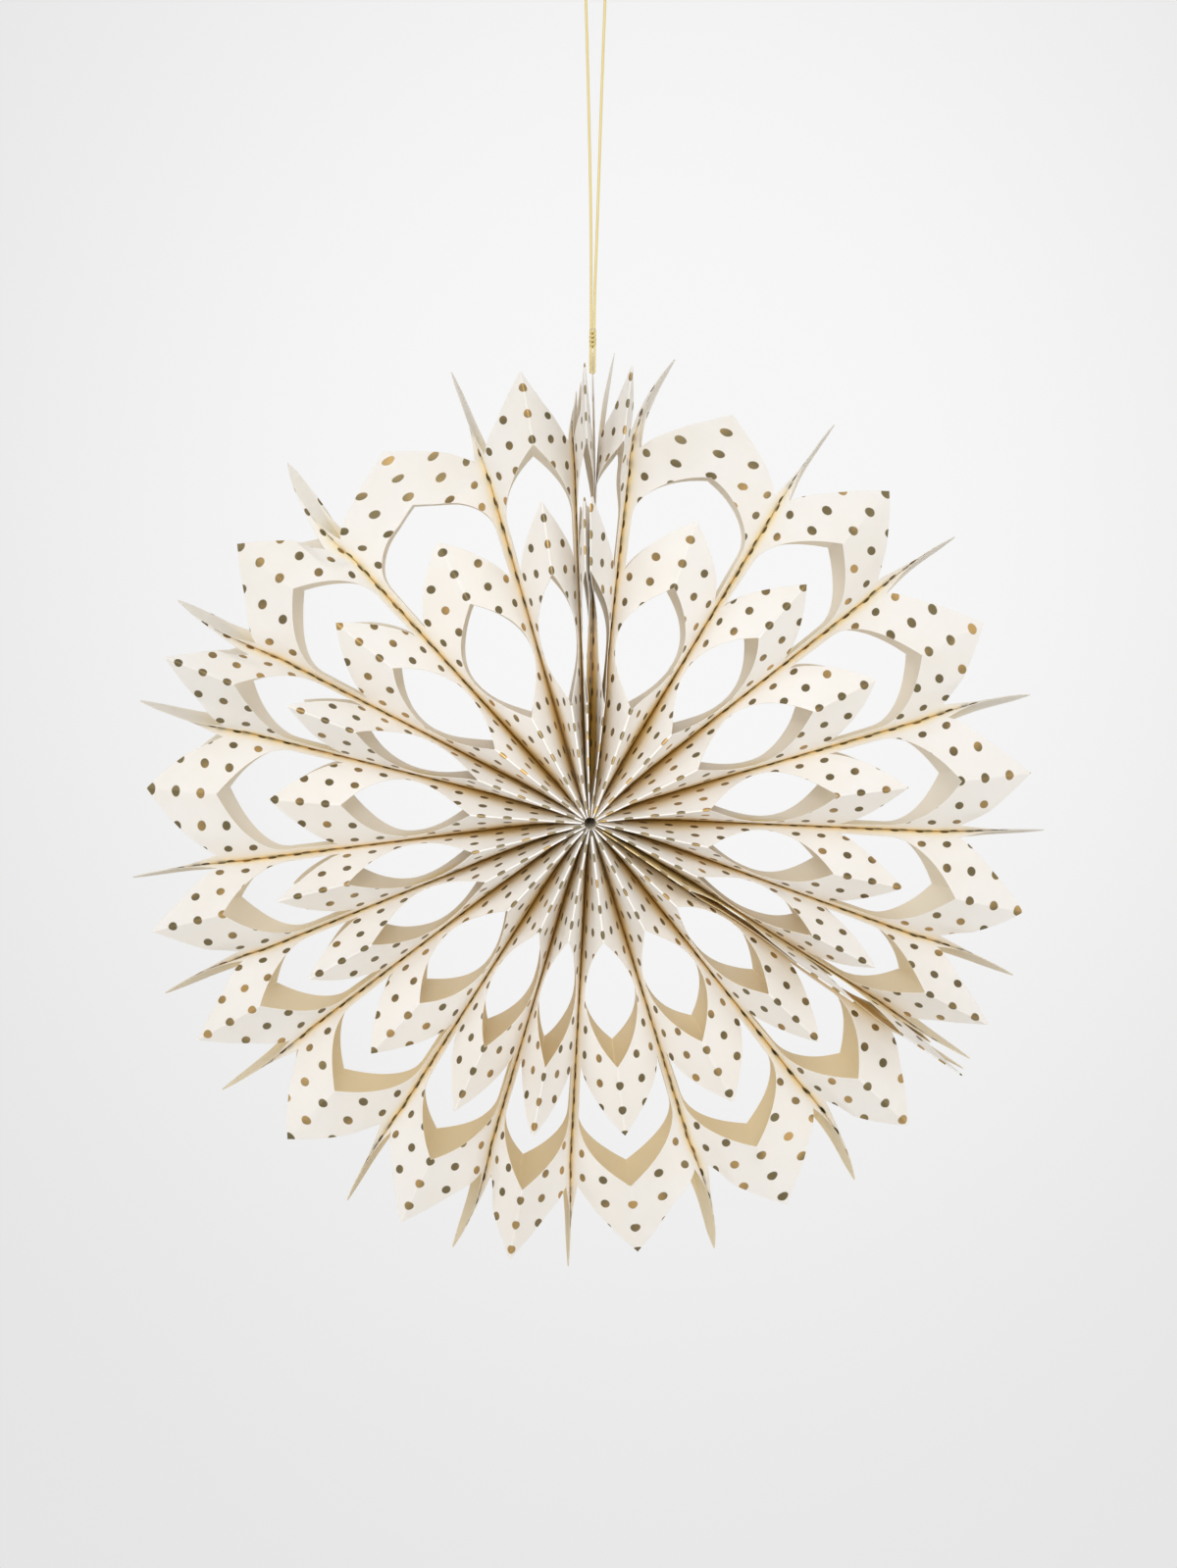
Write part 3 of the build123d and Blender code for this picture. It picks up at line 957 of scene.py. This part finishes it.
class Nodes:
    """Short ways to add and join shader nodes in one material."""

    def __init__(self, name: str) -> None:
        """Start a material that has only its output and its main shader."""
        self.material = bpy.data.materials.new(name)
        self.material.use_nodes = True
        self.tree = self.material.node_tree
        self.shader = self.tree.nodes["Principled BSDF"]
        self.output = self.tree.nodes["Material Output"]

    def add(self, kind: str, **settings: object) -> bpy.types.Node:
        """Add a node of a kind, with its settings."""
        node = self.tree.nodes.new(kind)
        for key, value in settings.items():
            setattr(node, key, value)
        return node

    def join(self, start: bpy.types.NodeSocket, end: bpy.types.NodeSocket) -> None:
        """Join an output to an input."""
        self.tree.links.new(start, end)

    def feed(self, value: object, slot: bpy.types.NodeSocket) -> None:
        """Join an output to an input, or set the input to a number or to red, green and blue."""
        if isinstance(value, bpy.types.NodeSocket):
            self.join(value, slot)
        else:
            slot.default_value = (*value, 1.0) if isinstance(value, tuple) else value

    def dress(self, **values: object) -> None:
        """Set numbers and colours on the main shader's own sockets, with _ for a space in a name."""
        for name, value in values.items():
            self.shader.inputs[name.replace("_", " ")].default_value = value

    def place(self) -> bpy.types.NodeSocket:
        """Add the object's own coordinates and give them."""
        return self.add("ShaderNodeTexCoord").outputs["Object"]

    def split(self, vector: bpy.types.NodeSocket) -> list[bpy.types.NodeSocket]:
        """Add a vector's three numbers and give them."""
        node = self.add("ShaderNodeSeparateXYZ")
        self.join(vector, node.inputs["Vector"])
        return list(node.outputs)

    def math(self, operation: str, *values: object) -> bpy.types.NodeSocket:
        """Add a calculation on sockets or numbers and give its result."""
        node = self.add("ShaderNodeMath", operation=operation)
        for slot, value in zip(node.inputs, values):
            self.feed(value, slot)
        return node.outputs[0]

    def length(self, first: bpy.types.NodeSocket, second: bpy.types.NodeSocket) -> bpy.types.NodeSocket:
        """Add the root of two numbers' squares together and give it."""
        squares = [self.math("MULTIPLY", number, number) for number in (first, second)]
        return self.math("SQRT", self.math("ADD", *squares))

    def noise(self, scale: float, detail: float, source: bpy.types.NodeSocket) -> bpy.types.NodeSocket:
        """Add noise over a coordinate and give its value."""
        node = self.add("ShaderNodeTexNoise")
        node.inputs["Scale"].default_value = scale
        node.inputs["Detail"].default_value = detail
        self.join(source, node.inputs["Vector"])
        return node.outputs["Fac"]

    def blend(self, share: bpy.types.NodeSocket, first: object, second: object) -> bpy.types.NodeSocket:
        """Mix two colours, given as sockets or as red, green and blue, by a share."""
        node = self.add("ShaderNodeMix", data_type="RGBA")
        self.join(share, node.inputs["Factor"])
        self.feed(first, node.inputs[6])
        self.feed(second, node.inputs[7])
        return node.outputs[2]

    def ramp(self, value: bpy.types.NodeSocket, low: float, high: float, start: float = 0.0,
             end: float = 1.0) -> bpy.types.NodeSocket:
        """Carry a value smoothly from one range to another."""
        node = self.add("ShaderNodeMapRange", interpolation_type="SMOOTHSTEP")
        self.join(value, node.inputs["Value"])
        for name, number in (("From Min", low), ("From Max", high), ("To Min", start), ("To Max", end)):
            node.inputs[name].default_value = number
        return node.outputs["Result"]

    def bump(self, height: bpy.types.NodeSocket, strength: float, distance: float) -> None:
        """Give the main shader a bump."""
        node = self.add("ShaderNodeBump")
        node.inputs["Strength"].default_value = strength
        node.inputs["Distance"].default_value = distance
        self.join(height, node.inputs["Height"])
        self.join(node.outputs["Normal"], self.shader.inputs["Normal"])


@dataclass(frozen=True)
class PaperFinish:
    """Matt white paper: a soft cloudy tint, fine fibres and a slight grain, with the glue's tint and painted
    crease shade along its seams.

    Attributes:
        light: Colour of its paler places.
        dark: Colour of its darker places.
        cloud: Scale and detail of the noise that parts the two.
        cloud_range: Values of that noise between which the colour changes.
        low: Colour of painted shade that it takes in the star's lower half, if that is another.
        shade_below_heights: Heights between which that painted shade comes in, in millimetres.
        roughness: Of its surface.
        fibre: Scale and detail of the fibres' noise.
        fibre_height: Of the fibres, in millimetres.
        grain: Strength of the fibres' bump.
        glue_and_shade_colours: Colours along a seam by the hub and further out: partly the glue's tint,
            partly painted shade in the seam's crease, darker by the hub.
        glue_shade_reach: How far from the seam that colour ends by the hub, and further out, in millimetres.
        glue_shade_spread: Distances from the hub between which its reach goes from the one to the other.
        glue_shade_change: Distances from the hub between which its colour does.
        glue_shade_end: Distances from the hub between which that colour fades out.
        glue_shade_core: Share of its reach where it begins to fade.
        glue_shade_strength: Share of that colour where it is full.
        thinness: Share of the light that enters the sheet.
        glow: How far red, green and blue light go inside it, as shares of the depth.
        glow_depth: How far light goes inside the sheet, in millimetres.
        shine: Strength of its reflections.
    """

    light: Triple = (0.905, 0.882, 0.85)
    dark: Triple = (0.89, 0.855, 0.805)
    cloud: Span = (28.0, 3.0)
    cloud_range: Span = (0.35, 0.65)
    low: Triple | None = None
    shade_below_heights: Span = (-140.0, 10.0)
    roughness: float = 0.78
    fibre: Span = (1500.0, 4.0)
    fibre_height: float = 0.2
    grain: float = 0.12
    glue_and_shade_colours: tuple[Triple, Triple] = ((0.68, 0.47, 0.09), (0.92, 0.755, 0.42))
    glue_shade_reach: Span = (42.0, 15.0)
    glue_shade_spread: Span = (12.0, 95.0)
    glue_shade_change: Span = (50.0, 115.0)
    glue_shade_end: Span = (170.0, 205.0)
    glue_shade_core: float = 0.2
    glue_shade_strength: float = 0.96
    thinness: float = 0.5
    glow: Triple = (1.0, 0.97, 0.92)
    glow_depth: float = 0.6
    shine: float = 0.25

    def tinted(self, nodes: Nodes) -> bpy.types.NodeSocket:
        """Add the paper's own colour and grain, with painted shade in the star's lower half if asked, and
        give the colour.
        """
        place = nodes.place()
        cloud = nodes.ramp(nodes.noise(*self.cloud, place), *self.cloud_range)
        nodes.bump(nodes.noise(*self.fibre, place), self.grain, self.fibre_height * MM)
        colour = nodes.blend(cloud, self.light, self.dark)
        if self.low is None:
            return colour
        # Painted shade: darker and warmer towards the bottom of the star.
        height = nodes.split(place)[2]
        shaded_below = nodes.ramp(height, *[mark * MM for mark in self.shade_below_heights], 1.0, 0.0)
        return nodes.blend(shaded_below, colour, self.low)

    def glued(self, nodes: Nodes, colour: bpy.types.NodeSocket) -> bpy.types.NodeSocket:
        """Paint a colour along the glued seam: the glue's tint, and painted shade in the seam's crease.

        That colour fades with the distance out from the seam, as a share of its reach there, and it ends
        before the tips. By the hub it is darker and reaches far up the deep folds' walls, as painted shade.

        Args:
            nodes: The material.
            colour: The colour before the glue's tint and the painted crease shade.

        Returns:
            The colour with the glue's tint and the painted crease shade.
        """
        out, along, _ = nodes.split(nodes.add("ShaderNodeUVMap", uv_map="place").outputs["UV"])
        reaches, spread, change, end = ([mark * MM for mark in marks] for marks in (
            self.glue_shade_reach, self.glue_shade_spread, self.glue_shade_change, self.glue_shade_end))
        width = nodes.ramp(along, *spread, *reaches)
        beside = nodes.ramp(nodes.math("DIVIDE", out, width), self.glue_shade_core, 1.0, self.glue_shade_strength, 0.0)
        before = nodes.ramp(along, *end, 1.0, 0.0)
        # Partly the glue's tint, partly painted shade in the seam's crease, darker and wider by the hub.
        glue_and_shade = nodes.blend(nodes.ramp(along, *change), *self.glue_and_shade_colours)
        return nodes.blend(nodes.math("MULTIPLY", beside, before), colour, glue_and_shade)

    def let_light_through(self, nodes: Nodes) -> None:
        """Let some light through the thin sheet, warmer on its way, and dull its surface."""
        nodes.dress(Subsurface_Weight=self.thinness, Subsurface_Radius=self.glow,
                    Subsurface_Scale=self.glow_depth * MM, Specular_IOR_Level=self.shine)

    def make(self, name: str) -> bpy.types.Material:
        """Make the plain paper."""
        nodes = Nodes(name)
        # The paper's tint, with the glue's tint and painted crease shade along the seams.
        nodes.join(self.glued(nodes, self.tinted(nodes)), nodes.shader.inputs["Base Color"])
        nodes.dress(Roughness=self.roughness)
        self.let_light_through(nodes)
        return nodes.material


@dataclass(frozen=True)
class DottedFinish:
    """The paper's printed side: round dots of gold foil in a square lattice.

    Attributes:
        paper: The paper under the print.
        dot_radius: Of a dot, in repeats of the lattice.
        edge: Softness of a dot's outline, in repeats.
        foils: Colours of the foil in its darker and its brighter places.
        foil_cloud: Scale and detail of the noise that parts the two.
        foil_range: Values of that noise between which the colour changes.
        foil_roughness: Of the foil.
        metal: How metallic the foil is.
    """

    paper: PaperFinish = PaperFinish()
    dot_radius: float = 0.168
    edge: float = 0.015
    foils: tuple[Triple, Triple] = ((0.21, 0.17, 0.09), (0.56, 0.37, 0.15))
    foil_cloud: Span = (45.0, 1.0)
    foil_range: Span = (0.45, 0.72)
    foil_roughness: float = 0.45
    metal: float = 0.8

    def make(self, name: str) -> bpy.types.Material:
        """Make the printed paper: a dot is where the distance from the nearest lattice point is small."""
        nodes = Nodes(name)
        # The paper's tint, with the glue's tint and painted crease shade along the seams.
        colour = self.paper.glued(nodes, self.paper.tinted(nodes))
        numbers = nodes.split(nodes.add("ShaderNodeUVMap", uv_map="print").outputs["UV"])
        offsets = [nodes.math("SUBTRACT", nodes.math("FRACT", nodes.math("ADD", number, 0.5)), 0.5)
                   for number in numbers[:2]]
        inner, outer = self.dot_radius - self.edge, self.dot_radius + self.edge
        dot = nodes.ramp(nodes.length(*offsets), inner, outer, 1.0, 0.0)
        change = nodes.ramp(nodes.noise(*self.foil_cloud, nodes.place()), *self.foil_range)
        foil = nodes.blend(change, *self.foils)
        nodes.join(nodes.blend(dot, colour, foil), nodes.shader.inputs["Base Color"])
        nodes.join(nodes.math("MULTIPLY", dot, self.metal), nodes.shader.inputs["Metallic"])
        rough = nodes.ramp(dot, 0.0, 1.0, self.paper.roughness, self.foil_roughness)
        nodes.join(rough, nodes.shader.inputs["Roughness"])
        self.paper.let_light_through(nodes)
        return nodes.material


@dataclass(frozen=True)
class GoldThreadFinish:
    """Pale gold thread, with painted shade in the grooves between its plies.

    Attributes:
        crown: Colour of the plies' outsides.
        groove_shade: Colour of the painted shade between them.
        groove_range: Values of the plies' cosine between which the colour changes.
        fibre: Scale and detail of the fibres' noise.
        fibre_height: Of the fibres, in millimetres.
        grain: Strength of the fibres' bump.
        roughness: Of the thread.
        metal: How metallic it is.
    """

    crown: Triple = (0.86, 0.74, 0.36)
    groove_shade: Triple = (0.62, 0.47, 0.16)
    groove_range: Span = (0.1, 0.7)
    fibre: Span = (6.0, 3.0)
    fibre_height: float = 0.1
    grain: float = 0.25
    roughness: float = 0.42
    metal: float = 0.35

    def make(self, name: str) -> bpy.types.Material:
        """Make the thread: its colour follows the plies, with painted shade in the grooves, and a fine fibre
        bump.
        """
        nodes = Nodes(name)
        pattern = nodes.add("ShaderNodeUVMap", uv_map="print").outputs["UV"]
        turned = nodes.math("MULTIPLY", nodes.split(pattern)[0], math.pi)
        lobe = nodes.math("ABSOLUTE", nodes.math("COSINE", turned))
        # Painted shade: the colour is darker where the plies meet.
        colour = nodes.blend(nodes.ramp(lobe, *self.groove_range), self.groove_shade, self.crown)
        nodes.join(colour, nodes.shader.inputs["Base Color"])
        nodes.bump(nodes.noise(*self.fibre, pattern), self.grain, self.fibre_height * MM)
        nodes.dress(Roughness=self.roughness, Metallic=self.metal)
        return nodes.material


@dataclass(frozen=True)
class BackdropFinish:
    """Pale matt backdrop, with a painted pool of light: the camera sees it brightest beside the star, and
    greyer further out.

    Attributes:
        pool_of_light_tone: Colour of the painted pool of light, which the camera sees where it is brightest.
        beyond_pool_tone: Colour that it sees far from there, outside the painted pool of light.
        centre: Where it is brightest, across and up, in metres.
        flatness: Share that heights count beside distances across.
        fade: Distances from there between which the tone changes, in metres.
        colour: That the backdrop has for the light that falls on it.
        roughness: Of the backdrop.
    """

    pool_of_light_tone: Triple = (0.925, 0.925, 0.925)
    beyond_pool_tone: Triple = (0.785, 0.785, 0.785)
    centre: Span = (0.17, 0.25)
    flatness: float = 0.85
    fade: Span = (0.25, 1.5)
    colour: Triple = (0.82, 0.81, 0.79)
    roughness: float = 0.9

    def make(self, name: str) -> bpy.types.Material:
        """Make the finish: matt for the light, and glowing where a ray looks for a background, with a
        painted pool of light round the star.
        """
        nodes = Nodes(name)
        across, _, up = nodes.split(nodes.place())
        aside = nodes.math("SUBTRACT", across, self.centre[0])
        above = nodes.math("MULTIPLY", nodes.math("SUBTRACT", up, self.centre[1]), self.flatness)
        # Painted pool of light: the glow is brightest round the star and greyer further out.
        share = nodes.ramp(nodes.length(aside, above), *self.fade)
        glow = nodes.add("ShaderNodeEmission")
        nodes.join(nodes.blend(share, self.pool_of_light_tone, self.beyond_pool_tone), glow.inputs["Color"])
        nodes.dress(Base_Color=(*self.colour, 1.0), Roughness=self.roughness)
        ray = nodes.add("ShaderNodeLightPath").outputs
        reflected = nodes.math("MAXIMUM", ray["Is Camera Ray"], ray["Is Glossy Ray"])
        seen = nodes.math("MAXIMUM", reflected, ray["Is Transmission Ray"])
        mixed = nodes.add("ShaderNodeMixShader")
        nodes.join(seen, mixed.inputs["Fac"])
        nodes.join(nodes.shader.outputs["BSDF"], mixed.inputs[1])
        nodes.join(glow.outputs["Emission"], mixed.inputs[2])
        nodes.join(mixed.outputs["Shader"], nodes.output.inputs["Surface"])
        return nodes.material


@dataclass
class Studio:
    """The plain pale backdrop, the soft light and the camera.

    Attributes:
        floor_height: Of the backdrop's floor, in metres, as every size here.
        wall_place: How far behind the star the backdrop rises.
        curve: Radius between its floor and wall.
        reach: Half its width, and how far it comes forward.
        top: Height of the wall.
        floor_steps: Steps along the floor.
        curve_points: Points along the quarter circle.
        wall_steps: Steps up the wall.
        columns: Points across the backdrop.
        weld: Points closer than this become one.
        backdrop_finish: Its finish.
        camera_place: Where the camera stands.
        camera_look: Direction that it looks in.
        focal: Its focal length in millimetres, for a sensor as long as the picture.
        sensor: Length of that sensor in millimetres.
        fill: Strength of the light from all round.
        fill_colour: Its colour.
        lamps: Name, place and power in watts of each large round lamp, all aimed at the hub.
        lamp_size: Width of a lamp.
        lamp_colour: Colour of the lamps.
        hub_lamp: Place of the small lamp that reaches into the folds round the hub.
        hub_power: Of that lamp, in watts.
        hub_cone: Its full angle, in degrees.
        hub_radius: Of the lamp itself.
        fold_bounces: How often light is passed on between the walls of the deep folds.
    """

    floor_height: float = -1.3
    wall_place: float = 2.2
    curve: float = 0.9
    reach: float = 5.0
    top: float = 4.0
    floor_steps: int = 11
    curve_points: int = 24
    wall_steps: int = 8
    columns: int = 16
    weld: float = 0.0001
    backdrop_finish: BackdropFinish = BackdropFinish()
    camera_place: Triple = (-0.02739, -1.09739, 0.09411)
    camera_look: Triple = (0.0251, 0.9972, -0.0711)
    focal: float = 51.1
    sensor: float = 36.0
    fill: float = 0.66
    fill_colour: Triple = (1.0, 0.985, 0.96)
    lamps: tuple[tuple[str, Triple, float], ...] = (
        ("left_lamp", (-1.8, -1.3, 0.6), 7.2),
        ("right_lamp", (1.8, -1.3, 0.5), 7.2),
        ("front_lamp", (-0.3, -2.4, 0.7), 14.5))
    lamp_size: float = 1.6
    lamp_colour: Triple = (1.0, 0.985, 0.965)
    hub_lamp: Triple = (-0.05, -1.5, 0.25)
    hub_power: float = 30.0
    hub_cone: float = 13.0
    hub_radius: float = 0.1
    fold_bounces: int = 10

    def backdrop(self) -> bpy.types.Object:
        """Make the backdrop: a profile of floor, quarter circle and wall, carried sideways."""
        bend = np.linspace(0.0, math.pi / 2.0, self.curve_points)
        start, foot = self.wall_place - self.curve, self.floor_height + self.curve
        floor = np.linspace(-self.reach, start, self.floor_steps, endpoint=False)
        wall = np.linspace(foot, self.top, self.wall_steps + 1)[1:]
        upright = np.full_like(wall, self.wall_place)
        back = np.concatenate([floor, start + self.curve * np.sin(bend), upright])
        up = np.concatenate([np.full_like(floor, self.floor_height), foot - self.curve * np.cos(bend), wall])
        across = np.linspace(-self.reach, self.reach, self.columns)
        grid = np.stack(np.broadcast_arrays(across, back[:, None], up[:, None]), axis=-1)
        sheet = Sheet()
        sheet.add(grid, grid[..., :2], np.array([0.0, -1.0, 1.0]))
        screen = sheet.build("backdrop", self.weld)
        smoothed(screen.data)
        screen.data.materials.append(self.backdrop_finish.make("backdrop_pale"))
        return screen

    def light(self) -> None:
        """Light the star softly: an even fill, large lamps at both sides and in front, one for the hub."""
        world = bpy.data.worlds.new("soft_fill")
        bpy.context.scene.world = world
        world.use_nodes = True
        shade = world.node_tree.nodes["Background"]
        shade.inputs["Color"].default_value = (*self.fill_colour, 1.0)
        shade.inputs["Strength"].default_value = self.fill
        for name, place, power in self.lamps:
            lamp = bpy.data.lights.new(name, "AREA")
            lamp.shape = "DISK"
            lamp.size = self.lamp_size
            lamp.energy = power
            lamp.color = self.lamp_colour
            self.hang(lamp, place)
        spot = bpy.data.lights.new("hub_lamp", "SPOT")
        spot.energy = self.hub_power
        spot.spot_size = math.radians(self.hub_cone)
        spot.spot_blend = 1.0
        spot.shadow_soft_size = self.hub_radius
        self.hang(spot, self.hub_lamp)

    def hang(self, lamp: bpy.types.Light, place: Triple) -> None:
        """Put a lamp in its place, aimed at the hub."""
        holder = bpy.data.objects.new(lamp.name, lamp)
        holder.location = place
        holder.rotation_euler = (-Vector(place)).to_track_quat("-Z", "Y").to_euler()
        bpy.context.scene.collection.objects.link(holder)

    def camera(self) -> None:
        """Set up the camera at the photograph's viewing angle."""
        lens = bpy.data.cameras.new("camera")
        lens.sensor_width = self.sensor
        lens.sensor_fit = "AUTO"
        lens.lens = self.focal
        holder = bpy.data.objects.new("camera", lens)
        holder.location = self.camera_place
        holder.rotation_euler = Vector(self.camera_look).to_track_quat("-Z", "Y").to_euler()
        bpy.context.scene.collection.objects.link(holder)
        bpy.context.scene.camera = holder

    def build(self) -> None:
        """Set up the whole studio."""
        bpy.context.scene.view_settings.view_transform = "Standard"
        bpy.context.scene.cycles.diffuse_bounces = self.fold_bounces
        self.backdrop()
        self.light()
        self.camera()


def main() -> None:
    """Load the frame, build the star, its thread and the studio."""
    logging.basicConfig(level=logging.INFO, format="%(message)s")
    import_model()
    Studio().build()
    Thread().build(GoldThreadFinish().make("gold_thread"))
    # The inside is a little darker and warmer than the outside, and takes painted shade in the star's lower
    # half.
    bare = PaperFinish(light=(0.87, 0.835, 0.77), dark=(0.85, 0.80, 0.72), low=(0.82, 0.71, 0.52))
    Star().build(DottedFinish().make("dotted_paper"), bare.make("bare_paper"))
    bpy.context.view_layer.update()


if __name__ == "__main__":
    main()
